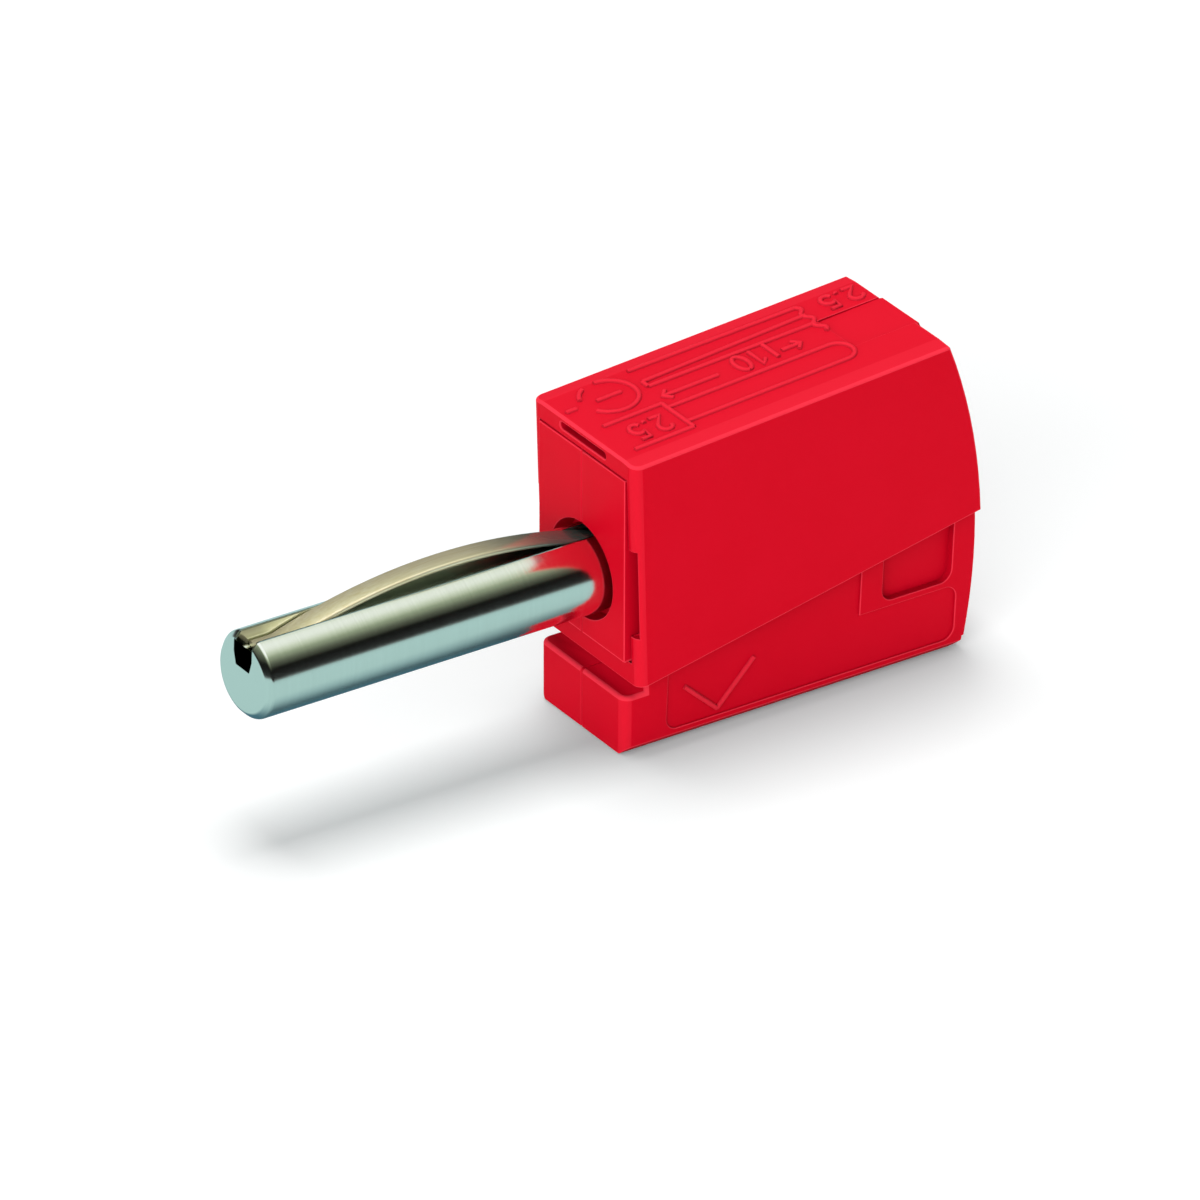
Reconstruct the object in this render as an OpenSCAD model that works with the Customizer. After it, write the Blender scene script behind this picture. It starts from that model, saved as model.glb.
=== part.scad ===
// Banana plug: a 4 mm contact pin with a bowed leaf, in a two-shell housing with a clip-on cover.
// Inside, a bent current bar and a folded tension spring clamp a stripped conductor.
// X runs from the pin's tip to the rear, Y across the housing, Z up from the underside.

/* [Contact pin] */
// Diameter of the pin
pin_d = 4; // [3.6:0.05:4.4]
// Length of pin that stands out of the housing
pin_reach = 17.8; // [15:0.1:22]
// Height of the pin's axis above the underside
pin_z = 8; // [7.6:0.05:8.3]
// Chamfer on the pin's free end
tip_chamfer = 0.3; // [0.15:0.05:0.5]
// Width of the slot that the leaf lies in
slot_w = 1.2; // [1:0.05:1.4]
// Height of the slot's two ledges above the pin's axis
slot_seat = 1.05; // [0.9:0.05:1.2]
// Width of the relief groove between the ledges
relief_w = 0.85; // [0.6:0.05:0.9]
// Depth of the relief groove below the ledges
relief_depth = 0.6; // [0.3:0.05:0.8]
// Length of pin held inside the housing
pin_grip = 3.3; // [3:0.1:3.8]
// Diameter of the collar that the shells trap
collar_d = 5; // [4.8:0.05:5.2]
// Thickness of the collar
collar_t = 0.9; // [0.6:0.05:1.1]
// Diameter of the spigot staked into the current bar
spigot_d = 1.7; // [1.4:0.05:1.9]

/* [Contact leaf] */
// Thickness of the leaf
leaf_t = 0.25; // [0.2:0.01:0.3]
// Height of the leaf's crest above the pin's axis
leaf_crest = 2.72; // [2.5:0.02:2.9]
// Distance from the housing's front to the crest
leaf_crest_out = 7.4; // [6.8:0.1:8]
// Half the span of the bow, from the crest to the feet
leaf_half_span = 8.6; // [8:0.1:9]
// Length of the leaf's flat feet
leaf_foot = 1.1; // [0.8:0.05:1.3]
// Play between the leaf and the slot's walls
leaf_play = 0.05; // [0.03:0.01:0.1]

/* [Housing shells] */
// Length of the housing
base_l = 19; // [18.5:0.1:21]
// Width of the two shells together
base_w = 6.4; // [6.2:0.05:7]
// Lean of the front face, forward to the top
front_lean = 2.5; // [0:0.25:4]
// Height at which the front face lies half the length from the middle
front_z = 6; // [5:0.1:8]
// Height of the front ledge under the cover
ledge_h = 2.95; // [2.6:0.05:3.1]
// Radius of the ledge's two upright corners
ledge_r = 0.5; // [0.2:0.05:0.8]
// Length of the plain front end, before the recessed field on each side
nose_l = 2.5; // [2:0.1:3]
// Depth of the recessed fields
field_depth = 0.1; // [0.05:0.01:0.15]
// Width of the raised band below the fields
foot_band = 0.65; // [0.5:0.05:0.9]
// Width of the raised band behind the fields
rear_band = 0.9; // [0.7:0.05:1]
// Corner radius of the fields
field_r = 0.6; // [0.3:0.05:0.9]
// Radius of the bowed rear face
rear_r = 28; // [25:0.5:34]
// Height of the rear face's furthest point
rear_z = 4.8; // [4:0.1:5.6]
// Radius of the rear lower corner
heel_r = 0.6; // [0.3:0.05:0.9]
// Chamfer along the underside's edges
foot_chamfer = 0.4; // [0.2:0.05:0.6]
// Radius of the pin's counterbore in the front face
mouth_r = 2.33; // [2.28:0.01:2.45]
// Depth of the pin's counterbore
mouth_depth = 0.9; // [0.5:0.05:1.1]
// Diameter of the conductor entry at the rear
entry_d = 3.6; // [3.2:0.05:3.8]
// Depth of that entry, down to its funnel
entry_l = 3.2; // [2.8:0.1:3.6]
// Length of the funnel
funnel_l = 1.1; // [0.8:0.05:1.3]
// Diameter of the entry's throat
throat_d = 2.3; // [2.1:0.05:2.5]
// Diameter of the test hole in the underside
test_d = 2.2; // [2:0.05:2.4]
// Distance of the test hole from the housing's front
test_in = 5.3; // [5:0.1:5.6]
// Width of the screwdriver slot at the rear
tool_w = 2.8; // [2.5:0.05:3.2]
// Height of the screwdriver slot
tool_h = 0.9; // [0.7:0.05:1]
// Diameter of the alignment pegs
peg_d = 1; // [0.8:0.05:1.1]
// Length of the alignment pegs
peg_l = 0.9; // [0.6:0.05:1.2]

/* [Latch windows] */
// Distance of the window from the housing's front
window_in = 14; // [13.6:0.1:14.4]
// Length of the window
window_l = 3.8; // [3.2:0.1:4]
// Height of the window's sill
window_sill = 3.65; // [3.4:0.05:4]
// Depth of the window
window_depth = 0.35; // [0.25:0.01:0.45]
// Corner radius of the window
window_r = 0.6; // [0.3:0.05:0.8]
// Height of the raised border below the window
border_w = 0.3; // [0.2:0.05:0.4]
// Length of the raised pad in front of the window
pad_l = 0.9; // [0.6:0.05:1.2]

/* [Cover] */
// Thickness of the cover's side walls
cover_wall = 0.6; // [0.5:0.05:0.8]
// Thickness of the cover's top
cover_top = 0.9; // [0.8:0.05:1.1]
// Slope of the cover's top, rising to the rear
cover_tilt = 4.25; // [2:0.25:5]
// Slope of the cover's lower edge
cover_edge = 11.3; // [10:0.1:13]
// Height of the cover's front
cover_h = 11.3; // [11:0.05:12]
// Height of the cover's lower front corner above the underside
cover_z = 3.6; // [3.45:0.05:3.8]
// How far that corner lies behind the shells' front
cover_back = 0.5; // [0.3:0.05:0.7]
// Distance from the cover's rear edge to the shells' rear face
cover_rear = 0.15; // [0.1:0.05:0.4]
// Radius of the cover's front upright edges
cover_r = 0.5; // [0.2:0.05:0.5]
// Width of the slope along the top's long edges
brow_w = 0.8; // [0.4:0.05:1]
// Drop of that slope
brow_drop = 0.1; // [0.06:0.02:0.4]
// Depth of the hook under the shells' front
hook_l = 0.7; // [0.5:0.05:1]
// Height of that hook
hook_h = 1.1; // [0.7:0.05:1.25]
// Length of the pockets in the front edges of the side walls
pocket_l = 4.4; // [3.5:0.1:5]
// Height of the pockets' lower end above the underside
pocket_z = 6.1; // [5.8:0.1:6.6]
// Depth of the pockets
pocket_depth = 0.5; // [0.3:0.05:0.6]
// Width of the pockets
pocket_w = 0.45; // [0.3:0.01:0.48]
// Length of the pocket in the top's front edge
slit_l = 3.4; // [3:0.1:4.4]
// Corner radius of that pocket
slit_r = 0.15; // [0.08:0.01:0.17]
// Width of the tongue at the rear of the top
tongue_w = 2.7; // [2:0.1:3.2]
// Length of the tongue
tongue_l = 3.5; // [2.5:0.1:4.5]
// How far the tongue lies below the top
tongue_drop = 0.1; // [0.05:0.01:0.2]
// Height of the latch lugs
lug_h = 0.6; // [0.4:0.05:0.7]
// Gap between the cover and the shells
fit_gap = 0.05; // [0.03:0.01:0.1]

/* [Current bar] */
// Thickness of the bar
bar_t = 0.8; // [0.6:0.05:0.9]
// Width of the bar
bar_w = 3.6; // [3.2:0.05:3.8]
// Width of the bar's narrow end
bar_end_w = 2.2; // [1.8:0.05:2.4]
// Length of the bar's clamping run
bar_l = 10.2; // [9.8:0.1:10.4]
// Length of the bar's lower foot
bar_foot_l = 3.8; // [3.4:0.1:4.2]
// Distance from the pin's axis down to the foot
bar_foot_drop = 2; // [1.8:0.05:2.2]
// Inner radius of the bar's bends
bar_bend = 0.3; // [0.2:0.05:0.4]

/* [Clamp spring] */
// Thickness of the spring strip
spring_t = 0.35; // [0.3:0.01:0.4]
// Width of the spring strip
spring_w = 3.4; // [3.2:0.05:3.7]
// Inner radius of the spring's loop
loop_r = 0.85; // [0.75:0.05:0.9]
// Distance from the current bar's tab to the loop's centre
loop_in = 2.4; // [2.2:0.1:2.8]
// Length of the spring's flat leg on the bar
spring_seat = 3.6; // [3:0.1:4]
// Play between the bar's narrow end and the spring's window
window_play = 0.1; // [0.05:0.01:0.15]
// Height of the bridge below the spring's window
bridge_h = 0.65; // [0.5:0.05:0.8]
// Diameter of the largest bare conductor
wire_d = 2; // [1.8:0.05:2.1]

/* [Hidden] */
$fn = 64;

// Working clearances and overruns
seat_gap = 0.02;      // between metal pieces that rest on each other
turn_gap = 0.03;      // round the pin's collar, the spigot and the pegs
free_gap = 0.2;       // round the strips in their chamber
wire_play = 0.1;      // between the largest conductor and the bar
foot_gap = 0.1;       // under the bar's foot
end_gap = 0.35;       // past the bar's end
lug_play = 0.1;       // round the latch lugs in their windows
bite = 0.1;           // how far forms of one piece reach into each other
over = 1;             // how far a cut runs past the face that it opens
reach = 60;           // longer than anything that a cut has to pass through

// Length: front, rear and tip
x_front = -base_l / 2;
x_rear = base_l / 2;
x_tip = x_front - pin_reach;
rear_x = x_rear - rear_r;

// Pin, slot and leaf
pin_r = pin_d / 2;
leaf_w = slot_w - 2 * leaf_play;
leaf_rise = leaf_crest - slot_seat - leaf_t;
leaf_r = (leaf_half_span * leaf_half_span + leaf_rise * leaf_rise) / (2 * leaf_rise);
leaf_x = x_front - leaf_crest_out;
leaf_x0 = leaf_x - leaf_half_span - leaf_foot;
leaf_x1 = leaf_x + leaf_half_span + leaf_foot;
slot_end = leaf_x1 + leaf_play;
collar_x = x_front + mouth_depth + (pin_grip - mouth_depth - collar_t) / 2;
stake_l = 0.3;        // length of the staked end of the spigot
stake_flare = 0.25;   // how far the staking spreads it
stake_r = spigot_d / 2 + stake_flare;

// Current bar
tab_x = x_front + pin_grip;
bar_under = pin_z + wire_d / 2 + wire_play;
bar_top = bar_under + bar_t;
foot_top = pin_z - bar_foot_drop;
foot_under = foot_top - bar_t;
bar_end_x = tab_x + bar_l;

// Clamp spring
nib_l = 0.8;          // length of bar past the spring's windowed leg
neck_lead = 0.4;      // how far before that leg the bar turns narrow
crown_r = 0.45;       // inner radius of the fold above that leg
window_rise = 0.6;    // height of the spring's window above the bar
loop_x = tab_x + bar_t + loop_in;
loop_o = loop_r + spring_t;
loop_z = bar_top + seat_gap + loop_o;
leg_out = bar_end_x - nib_l;
leg_in = leg_out - spring_t;
spring_top = loop_z + loop_o;
window_w = bar_end_w + 2 * window_play;
bridge_top = bar_under - seat_gap;
bar_neck_x = leg_in - neck_lead;

// Chamber in the shells
rest_w = 0.65;        // width of the two rails that the bar rests on
rest_h = 0.9;         // height of those rails
rest_in = 0.6;        // how far they stop short of the bar's bend and the spring's leg
tool_rise = 0.05;     // from the spring's top up to the screwdriver slot
chamber_w = max(bar_w, spring_w) + 2 * free_gap;
chamber_x0 = tab_x - seat_gap;
chamber_x1 = bar_end_x + end_gap;
chamber_z0 = foot_under - foot_gap;
chamber_z1 = spring_top + free_gap;
entry_x = x_rear - entry_l;
tool_z = spring_top + tool_rise;
test_x = x_front + test_in;

// Alignment pegs: above the pin, behind the test hole, and below and above the conductor entry
peg_in = 2;           // from a face or bore to a peg's axis
peg_z = 2.5;          // height of the two low pegs
pegs = [[x_front + peg_in, pin_z + collar_d / 2 + peg_in],
        [test_x + test_d / 2 + peg_in, peg_z],
        [x_rear - peg_in, peg_z],
        [x_rear - peg_in, (pin_z + entry_d / 2 + tool_z) / 2]];

// Cover
hook_room = 0.15;     // behind the cover's hook in the shells' groove
field_under = 1;      // how far the side fields run up under the cover
lug_rise = 0.12;      // from the cover's lower edge up to the latch lugs
slit_h = 0.35;        // height of the pocket in the top's front edge
shell_half = base_w / 2;
inner_half = shell_half + fit_gap;
cover_w = 2 * (inner_half + cover_wall);
cover_x = x_front + cover_back;
cover_rear_r = rear_r - cover_rear;
groove_l = cover_back + hook_l + hook_room;
window_x = x_front + window_in;

// End of the top along the slope, where it meets the bowed rear
rear_u = (rear_x - cover_x) * cos(cover_tilt) + (rear_z - cover_z) * sin(cover_tilt);
rear_v = (rear_z - cover_z) * cos(cover_tilt) - (rear_x - cover_x) * sin(cover_tilt);
top_end = rear_u + sqrt(rear_r * rear_r - (cover_h - rear_v) * (cover_h - rear_v));

// Outlines in the XZ plane

// A rectangle with round corners, drawn from its lower left corner
module round_rect(w, h, r) {
    difference() {
        square([w, h]);
        for (i = [0, 1], j = [0, 1])
            translate([i * w, j * h])
                mirror([i, 0])
                    mirror([0, j])
                        difference() {
                            translate([-over, -over])
                                square([r + over, r + over]);
                            translate([r, r])
                                circle(r);
                        }
    }
}

// Half of a flat ring on the side that x_sign names
module half_ring(r_in, r_out, x_sign) {
    intersection() {
        difference() {
            circle(r_out);
            circle(r_in);
        }
        translate([x_sign > 0 ? 0 : -reach, -reach / 2])
            square([reach, reach]);
    }
}

// What the cover's slanted frame bounds: from u0 behind its lower front corner, up to height h
module tilted_strip(u0, h) {
    translate([cover_x, cover_z])
        rotate(cover_tilt)
            translate([u0, -reach / 2])
                square([reach, reach / 2 + h]);
}

// What lies above the cover's lower edge, moved up by d
module above_edge(d) {
    translate([cover_x, cover_z])
        rotate(cover_edge)
            translate([-reach / 2, d])
                square([reach, reach]);
}

// The disc that bows the rear face
module rear_disc(r) {
    translate([rear_x, rear_z])
        circle(r, $fn = 128);
}

module cover_outline() {
    intersection() {
        tilted_strip(0, cover_h);
        above_edge(0);
        rear_disc(cover_rear_r);
    }
}

// The tongue at the rear of the cover's top, out to the shells' rear face
module tongue_outline() {
    intersection() {
        tilted_strip(top_end - tongue_l, cover_h);
        above_edge(cover_h / 2);
        rear_disc(rear_r);
    }
}

// The hook that reaches under the shells' front, grown by d
module hook_outline(d) {
    translate([cover_x, cover_z])
        rotate(cover_tilt)
            translate([-reach / 2, -reach / 2])
                square([reach / 2 + hook_l + d, reach / 2 + hook_h + d]);
}

// Both shells from the side: front face, sloping top, bowed rear and the groove for the cover's hook
module shell_outline() {
    difference() {
        intersection() {
            translate([-reach, 0])
                square([2 * reach, reach]);
            translate([x_front, front_z])
                rotate(front_lean)
                    translate([0, -reach / 2])
                        square([reach, reach]);
            tilted_strip(-reach / 2, cover_h - cover_top - fit_gap);
            rear_disc(rear_r);
        }
        intersection() {
            translate([x_front - over, ledge_h])
                square([over + groove_l, reach]);
            hook_outline(fit_gap);
        }
        heel_cut();
    }
}

// Rounds the rear lower corner
module heel_cut() {
    foot_x = rear_x + sqrt(rear_r * rear_r - rear_z * rear_z);
    translate([foot_x - heel_r, 0])
        difference() {
            translate([0, -over])
                square([reach, heel_r + over]);
            translate([0, heel_r])
                circle(heel_r);
            translate([-heel_r, heel_r])
                square([reach, reach]);
        }
}

// The latch window, grown by d
module window_outline(d) {
    top = cover_z + (window_in + window_l) * tan(cover_edge) + lug_h;
    translate([window_x - d, window_sill - d])
        round_rect(window_l + 2 * d, top - window_sill + 2 * d, window_r + d);
}

// The recessed field on each side: a low strip below the window, and up under the cover before its pad
module field_outline() {
    field_x = x_front + nose_l;
    pad_x = window_x - border_w - pad_l;
    translate([field_x, foot_band])
        round_rect(x_rear - rear_band - field_x, window_sill - border_w - foot_band, field_r);
    difference() {
        translate([field_x, foot_band + field_r])
            square([pad_x - field_x, reach]);
        above_edge(field_under);
    }
}

// Extrudes an XZ outline from y0 to y1
module across(y0, y1) {
    translate([0, y1, 0])
        rotate([90, 0, 0])
            linear_extrude(y1 - y0)
                children();
}

// The same form on both sides of the middle plane
module both_sides() {
    for (s = [0, 1])
        mirror([0, s, 0])
            children();
}

// A cylinder or cone along X
module along_x(x0, x1, r_0, r_1, z) {
    translate([x0, 0, z])
        rotate([0, 90, 0])
            cylinder(h = x1 - x0, r1 = r_0, r2 = r_1);
}

// Pieces

// Turned pin: chamfered tip, collar, staked spigot and the stepped slot for the leaf
module contact_pin() {
    color("lightsteelblue")
        difference() {
            union() {
                along_x(x_tip, x_tip + tip_chamfer, pin_r - tip_chamfer, pin_r, pin_z);
                along_x(x_tip + tip_chamfer, tab_x - seat_gap, pin_r, pin_r, pin_z);
                along_x(collar_x, collar_x + collar_t, collar_d / 2, collar_d / 2, pin_z);
                along_x(tab_x - seat_gap - bite, tab_x + bar_t - stake_l, spigot_d / 2, spigot_d / 2, pin_z);
                along_x(tab_x + bar_t - stake_l, tab_x + bar_t, spigot_d / 2, stake_r, pin_z);
            }
            translate([x_tip - over, -slot_w / 2, pin_z + slot_seat])
                cube([slot_end - x_tip + over, slot_w, reach]);
            translate([x_tip - over, -relief_w / 2, pin_z + slot_seat - relief_depth])
                cube([slot_end - x_tip + over, relief_w, reach]);
        }
}

// Bowed leaf: a flat foot at each end and one round bow between them
module contact_leaf() {
    foot_z = pin_z + slot_seat + seat_gap;
    color("khaki")
        across(-leaf_w / 2, leaf_w / 2)
            union() {
                for (x = [leaf_x0, leaf_x1 - leaf_foot])
                    translate([x, foot_z])
                        square([leaf_foot, leaf_t]);
                intersection() {
                    translate([leaf_x, foot_z + leaf_rise + leaf_t - leaf_r])
                        difference() {
                            circle(leaf_r, $fn = 180);
                            circle(leaf_r - leaf_t, $fn = 180);
                        }
                    translate([leaf_x - leaf_half_span - leaf_t, foot_z])
                        square([2 * (leaf_half_span + leaf_t), reach]);
                }
            }
}

// Bent bar: tab on the pin, clamping run with a narrow end, and a foot over the test hole
module current_bar() {
    run_h = bar_top - foot_under;
    hole_r = spigot_d / 2 + seat_gap;
    stake_x = tab_x + bar_t - stake_l;
    color("silver")
        difference() {
            across(-bar_w / 2, bar_w / 2)
                difference() {
                    translate([tab_x, foot_under])
                        round_rect(reach, run_h, bar_bend + bar_t);
                    translate([tab_x + bar_t, foot_top])
                        round_rect(reach, bar_under - foot_top, bar_bend);
                    translate([bar_end_x, foot_under - over])
                        square([2 * reach, run_h + 2 * over]);
                    translate([tab_x + bar_foot_l, foot_under - over])
                        square([reach, bar_foot_drop + bar_t + over]);
                }
            both_sides()
                translate([bar_neck_x, bar_end_w / 2, bar_under - over])
                    cube([reach, reach, bar_t + 2 * over]);
            along_x(tab_x - over, stake_x, hole_r, hole_r, pin_z);
            along_x(stake_x, tab_x + bar_t, hole_r, stake_r + seat_gap, pin_z);
            along_x(tab_x + bar_t, tab_x + bar_t + seat_gap, stake_r + seat_gap, stake_r + seat_gap, pin_z);
        }
}

// Folded spring: flat leg on the bar, loop, upper leg and a windowed leg round the bar's end
module clamp_spring() {
    crown_x = leg_out - crown_r - spring_t;
    crown_z = spring_top - crown_r - spring_t;
    color("gainsboro")
        difference() {
            across(-spring_w / 2, spring_w / 2)
                union() {
                    translate([loop_x, loop_z])
                        half_ring(loop_r, loop_o, -1);
                    translate([loop_x, loop_z - loop_o])
                        square([spring_seat, spring_t]);
                    translate([loop_x, loop_z + loop_r])
                        square([crown_x - loop_x, spring_t]);
                    translate([crown_x, crown_z])
                        intersection() {
                            half_ring(crown_r, crown_r + spring_t, 1);
                            square([reach, reach]);
                        }
                    translate([leg_in, bridge_top - bridge_h])
                        square([spring_t, crown_z - bridge_top + bridge_h]);
                }
            translate([leg_in - bite, -window_w / 2, bridge_top])
                cube([spring_t + 2 * bite, window_w, bar_t + window_rise]);
        }
}

// Everything that both shells have: the block less its chamber, bores, windows, fields and soft corners
module shell_block() {
    difference() {
        across(-shell_half, shell_half)
            shell_outline();
        chamber();
        both_sides() {
            across(shell_half - window_depth, shell_half + over)
                window_outline(0);
            across(shell_half - field_depth, shell_half + over)
                field_outline();
            foot_edge();
            ledge_corner();
        }
    }
}

// What rounds one upright corner of the ledge, in the leaning front's own frame
module ledge_corner() {
    translate([x_front, 0, front_z])
        rotate([0, -front_lean, 0])
            translate([0, shell_half, -reach])
                linear_extrude(reach + cover_z - front_z)
                    difference() {
                        translate([-over, -ledge_r])
                            square([over + ledge_r, ledge_r + over]);
                        translate([ledge_r, -ledge_r])
                            circle(ledge_r);
                    }
}

// Chamfer along one side of the underside
module foot_edge() {
    side = foot_chamfer * sqrt(2);
    translate([x_front - over, shell_half, 0])
        rotate([45, 0, 0])
            translate([0, -side / 2, -side / 2])
                cube([reach, side, side]);
}

// The space inside the shells: chamber with rails, pin seat, conductor entry, tool slot and test hole
module chamber() {
    rail_x0 = tab_x + bar_t + rest_in;
    rail_x1 = leg_in - rest_in;
    difference() {
        translate([chamber_x0, -chamber_w / 2, chamber_z0])
            cube([chamber_x1 - chamber_x0, chamber_w, chamber_z1 - chamber_z0]);
        both_sides()
            translate([rail_x0, chamber_w / 2 - rest_w, bar_under - seat_gap - rest_h])
                cube([rail_x1 - rail_x0, 2 * rest_w, rest_h]);
    }
    along_x(x_front - over, x_front + mouth_depth, mouth_r, mouth_r, pin_z);
    along_x(x_front, chamber_x0 + bite, pin_r + turn_gap, pin_r + turn_gap, pin_z);
    along_x(collar_x - turn_gap, collar_x + collar_t + turn_gap, collar_d / 2 + turn_gap,
            collar_d / 2 + turn_gap, pin_z);
    along_x(chamber_x1 - bite, x_rear, throat_d / 2, throat_d / 2, pin_z);
    along_x(entry_x - funnel_l, entry_x, throat_d / 2, entry_d / 2, pin_z);
    along_x(entry_x, x_rear + over, entry_d / 2, entry_d / 2, pin_z);
    translate([chamber_x1 - bite, -tool_w / 2, tool_z])
        cube([reach, tool_w, tool_h]);
    translate([test_x, 0, -over])
        cylinder(h = chamber_z0 + over + bite, r = test_d / 2);
}

// One peg, or its hole with the clearance d
module peg(at, d) {
    translate([at[0], 0, at[1]])
        rotate([-90, 0, 0])
            cylinder(h = peg_l + 3 * d, r = peg_d / 2 + d);
}

// The half of the block on the side that s names
module shell_half_block(s) {
    intersection() {
        shell_block();
        translate([-reach, s > 0 ? 0 : -reach, -reach])
            cube([2 * reach, reach, 2 * reach]);
    }
}

// Far half, with the peg holes
module left_shell() {
    color("crimson")
        difference() {
            shell_half_block(1);
            for (p = pegs)
                peg(p, turn_gap);
        }
}

// Near half, with the pegs
module right_shell() {
    color("crimson")
        union() {
            shell_half_block(-1);
            for (p = pegs)
                translate([0, -bite, 0])
                    peg(p, 0);
        }
}

// The cover's cross-section with sloped brows, seen along the cover
module brow_section() {
    half = cover_w / 2;
    polygon([[-half, -reach], [half, -reach], [half, cover_h - brow_drop], [half - brow_w, cover_h],
             [brow_w - half, cover_h], [-half, cover_h - brow_drop]]);
}

// Places children in the cover's slanted frame
module in_cover() {
    translate([cover_x, 0, cover_z])
        rotate([0, -cover_tilt, 0])
            children();
}

// Clip-on cover: top with a rear tongue, two side walls, front hook and latch lugs
module cover() {
    color("red")
        union() {
            difference() {
                intersection() {
                    union() {
                        across(-cover_w / 2, cover_w / 2)
                            cover_outline();
                        across(-tongue_w / 2, tongue_w / 2)
                            tongue_outline();
                    }
                    in_cover()
                        rotate([90, 0, 90])
                            translate([0, 0, -over])
                                linear_extrude(reach)
                                    brow_section();
                    in_cover()
                        translate([0, -cover_w / 2, -reach / 2])
                            linear_extrude(reach)
                                round_rect(reach, cover_w, cover_r);
                }
                across(-inner_half, inner_half)
                    difference() {
                        tilted_strip(-reach / 2, cover_h - cover_top);
                        hook_outline(0);
                    }
                in_cover()
                    translate([top_end - tongue_l, -tongue_w / 2, cover_h - tongue_drop])
                        cube([reach, tongue_w, reach]);
                pockets();
            }
            both_sides()
                across(inner_half - window_depth + lug_play, inner_half + bite)
                    lug_outline();
        }
}

// Latch lug: inside the shells' window, just above the cover's lower edge
module lug_outline() {
    intersection() {
        window_outline(-lug_play);
        cover_outline();
        difference() {
            above_edge(lug_rise);
            above_edge(lug_h);
        }
    }
}

// Pockets in the front edges: one in each side wall and a long one in the top
module pockets() {
    in_cover() {
        both_sides()
            translate([-over, inner_half - bite, pocket_z - cover_z])
                cube([over + pocket_depth, pocket_w + bite, pocket_l]);
        translate([-over, 0, cover_h - (cover_top + slit_h) / 2])
            rotate([90, 0, 90])
                translate([-slit_l / 2, 0, 0])
                    linear_extrude(over + pocket_depth)
                        round_rect(slit_l, slit_h, slit_r);
    }
}

contact_pin();
contact_leaf();
current_bar();
clamp_spring();
left_shell();
right_shell();
cover();
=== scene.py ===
# %% [markdown]
# # A banana plug
# A red plastic housing holds a nickel-plated pin, and a bowed leaf of spring metal lies in the pin's slot.
# The solids come from the CAD frame. This lesson gives them soft edges, marks and finishes, piece by piece.

# %% Load the frame
import math
import bmesh
import bpy
from mathutils import Matrix, Vector
from mathutils.bvhtree import BVHTree


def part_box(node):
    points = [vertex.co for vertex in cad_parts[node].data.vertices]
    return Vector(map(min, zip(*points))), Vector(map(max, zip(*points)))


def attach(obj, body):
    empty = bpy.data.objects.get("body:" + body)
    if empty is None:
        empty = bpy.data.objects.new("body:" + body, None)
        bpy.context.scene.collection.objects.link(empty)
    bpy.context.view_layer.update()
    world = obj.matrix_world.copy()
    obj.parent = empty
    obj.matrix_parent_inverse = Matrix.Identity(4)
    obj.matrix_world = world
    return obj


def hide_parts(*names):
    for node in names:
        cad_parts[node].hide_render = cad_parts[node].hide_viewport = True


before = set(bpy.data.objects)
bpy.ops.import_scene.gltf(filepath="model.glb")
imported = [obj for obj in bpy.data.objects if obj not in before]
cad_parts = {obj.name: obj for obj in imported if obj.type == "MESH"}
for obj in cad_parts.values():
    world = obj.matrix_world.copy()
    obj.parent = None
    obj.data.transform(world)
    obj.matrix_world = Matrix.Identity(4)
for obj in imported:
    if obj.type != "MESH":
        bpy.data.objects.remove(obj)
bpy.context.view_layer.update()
scene = bpy.context.scene
scene.view_settings.view_transform = "Standard"
print("nodes:", sorted(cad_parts))

# %% [markdown]
# ## Camera
# The photograph was taken from far away with a long lens, from the front left and about 30 degrees up.
# The angles, the distance and the lens were fitted to the housing's edges, so the frame needs no shift.

# %% Camera
MM = 0.001
AZIMUTH = -36.56
ELEVATION = 29.65
ROLL = 2.47
DISTANCE = 559.2
LENS = 385.2
LOOK_AT = Vector((-7.69, 1.11, 5.34))


def camera_turn(azimuth, elevation, roll):
    """The camera's rotation: its right, up and back directions as columns."""
    a, e, r = (math.radians(x) for x in (azimuth, elevation, roll))
    back = Vector((math.sin(a) * math.cos(e), -math.cos(a) * math.cos(e), math.sin(e)))
    right = Vector((0, 0, 1)).cross(back).normalized()
    up = back.cross(right)
    rolled_right = math.cos(r) * right + math.sin(r) * up
    rolled_up = math.cos(r) * up - math.sin(r) * right
    return Matrix((rolled_right, rolled_up, back)).transposed()


lens = bpy.data.cameras.new("camera")
lens.lens = LENS
lens.clip_start = 0.01
camera = bpy.data.objects.new("camera", lens)
turn = camera_turn(AZIMUTH, ELEVATION, ROLL)
camera.matrix_world = turn.to_4x4()
camera.location = (LOOK_AT + DISTANCE * turn.col[2]) * MM
scene.collection.objects.link(camera)
scene.camera = camera
print("camera at", [round(x, 3) for x in camera.location], "m")

# %% [markdown]
# ## Stage and light
# The plug stands on a white table under a large overhead softbox, in a room that is dark at eye level.
# A second softbox fills in from the front left.
# Plastic hardly shows the room, but the polished pin mirrors it: a white band, a black band and the table.
# So the sky gives even light to matt surfaces, and shows the softbox and the dark room only to mirrors.
# The table that mirrors see is tinted, and carries a painted shadow under the plug, for the dark lower edge
# of the pin.

# %% Node helpers


def node(tree, kind, label="", **values):
    """Adds a node, and sets its properties or, where it has none of that name, its inputs."""
    made = tree.nodes.new(kind)
    made.label = label
    for key, value in values.items():
        if hasattr(made, key):
            setattr(made, key, value)
        else:
            made.inputs[key.replace("_", " ")].default_value = value
    return made


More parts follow.
